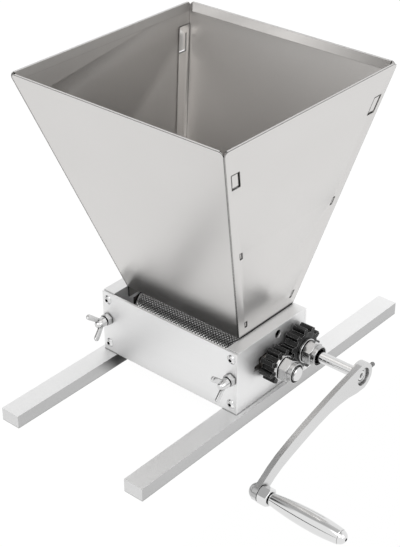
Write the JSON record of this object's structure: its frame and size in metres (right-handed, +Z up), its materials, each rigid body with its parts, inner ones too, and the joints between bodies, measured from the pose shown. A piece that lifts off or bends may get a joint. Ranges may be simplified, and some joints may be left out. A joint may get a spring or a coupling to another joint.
{
  "type": "grain roller mill",
  "caption": "Hand cranked grain mill: folded steel hopper over two meshed knurled rollers in an aluminium housing on two foot bars, with a bowed crank and turning grip.",
  "frame": {"origin": "middle of the overall footprint at floor level, with the crank forward and down as in the picture", "axes": "+X along the rollers towards the gears and crank, -Y towards the wing screws, +Z up"},
  "size_m": [0.3429, 0.3546, 0.2887],
  "materials": {
    "bar_aluminium": "satin",
    "plate_aluminium": "satin",
    "roller_steel": "knurled",
    "bronze": "matte",
    "black_steel": "black, half gloss",
    "dark_nylon": "matte",
    "hopper_sheet": "satin",
    "arm_metal": "satin",
    "grip_chrome": "polished",
    "zinc_steel": "bright zinc"
  },
  "bodies": {
    "frame": {"left_foot_bar": "bar_aluminium", "right_foot_bar": "bar_aluminium", "foot_screws": "zinc_steel", "left_side_plate": "plate_aluminium", "right_side_plate": "plate_aluminium", "front_plate": "plate_aluminium", "back_plate": "plate_aluminium", "front_plate_screws": "zinc_steel", "back_plate_screws": "zinc_steel", "left_drive_bush": "bronze", "right_drive_bush": "bronze", "left_lock_nut": "zinc_steel", "right_lock_nut": "zinc_steel", "hopper_front_panel": "hopper_sheet", "hopper_back_panel": "hopper_sheet", "hopper_left_panel": "hopper_sheet", "hopper_right_panel": "hopper_sheet", "hopper_screws": "zinc_steel"},
    "drive": {"drive_roller": "roller_steel", "drive_gear": "black_steel", "drive_gear_washer": "zinc_steel", "drive_gear_nut": "zinc_steel", "drive_nut_ring": "dark_nylon", "crank_arm": "arm_metal", "crank_set_screw": "zinc_steel", "handle_spindle": "grip_chrome", "handle_nut": "grip_chrome", "handle_cap_nut": "grip_chrome"},
    "grip": {"handle_grip": "grip_chrome"},
    "carriage": {"left_bearing_block": "bronze", "right_bearing_block": "bronze"},
    "driven": {"driven_roller": "roller_steel", "driven_gear": "black_steel", "driven_gear_washer": "zinc_steel", "driven_gear_nut": "zinc_steel", "driven_nut_ring": "dark_nylon"},
    "left_adjuster": {"left_wing_screw": "zinc_steel"},
    "right_adjuster": {"right_wing_screw": "zinc_steel"}
  },
  "joints": [
    {"name": "drive_spin", "type": "hinge", "parent": "frame", "child": "drive", "pos_m": [-0.0617, 0.01762, 0.047], "axis": [1, 0, 0], "continuous": true},
    {"name": "grip_spin", "type": "hinge", "parent": "drive", "child": "grip", "pos_m": [0.1333, -0.11712, 0.009], "axis": [1, 0, 0], "continuous": true},
    {"name": "gap_slide", "type": "slide", "parent": "frame", "child": "carriage", "axis": [0, -1, 0], "range_m": [-0.0006, 0.001]},
    {"name": "driven_spin", "type": "hinge", "parent": "carriage", "child": "driven", "pos_m": [-0.0617, -0.01518, 0.047], "axis": [1, 0, 0], "continuous": true},
    {"name": "left_adjuster_turn", "type": "hinge", "parent": "carriage", "child": "left_adjuster", "pos_m": [-0.13225, -0.0594, 0.047], "axis": [0, -1, 0], "range_deg": [-220, 365]},
    {"name": "right_adjuster_turn", "type": "hinge", "parent": "carriage", "child": "right_adjuster", "pos_m": [0.00885, -0.0594, 0.047], "axis": [0, -1, 0], "range_deg": [-220, 365]}
  ],
  "couplings": [
    {"joint": "driven_spin", "follows": "drive_spin", "ratio": -1.375},
    {"joint": "left_adjuster_turn", "follows": "gap_slide", "rad_per_m": 6283.2},
    {"joint": "right_adjuster_turn", "follows": "gap_slide", "rad_per_m": 6283.2}
  ]
}
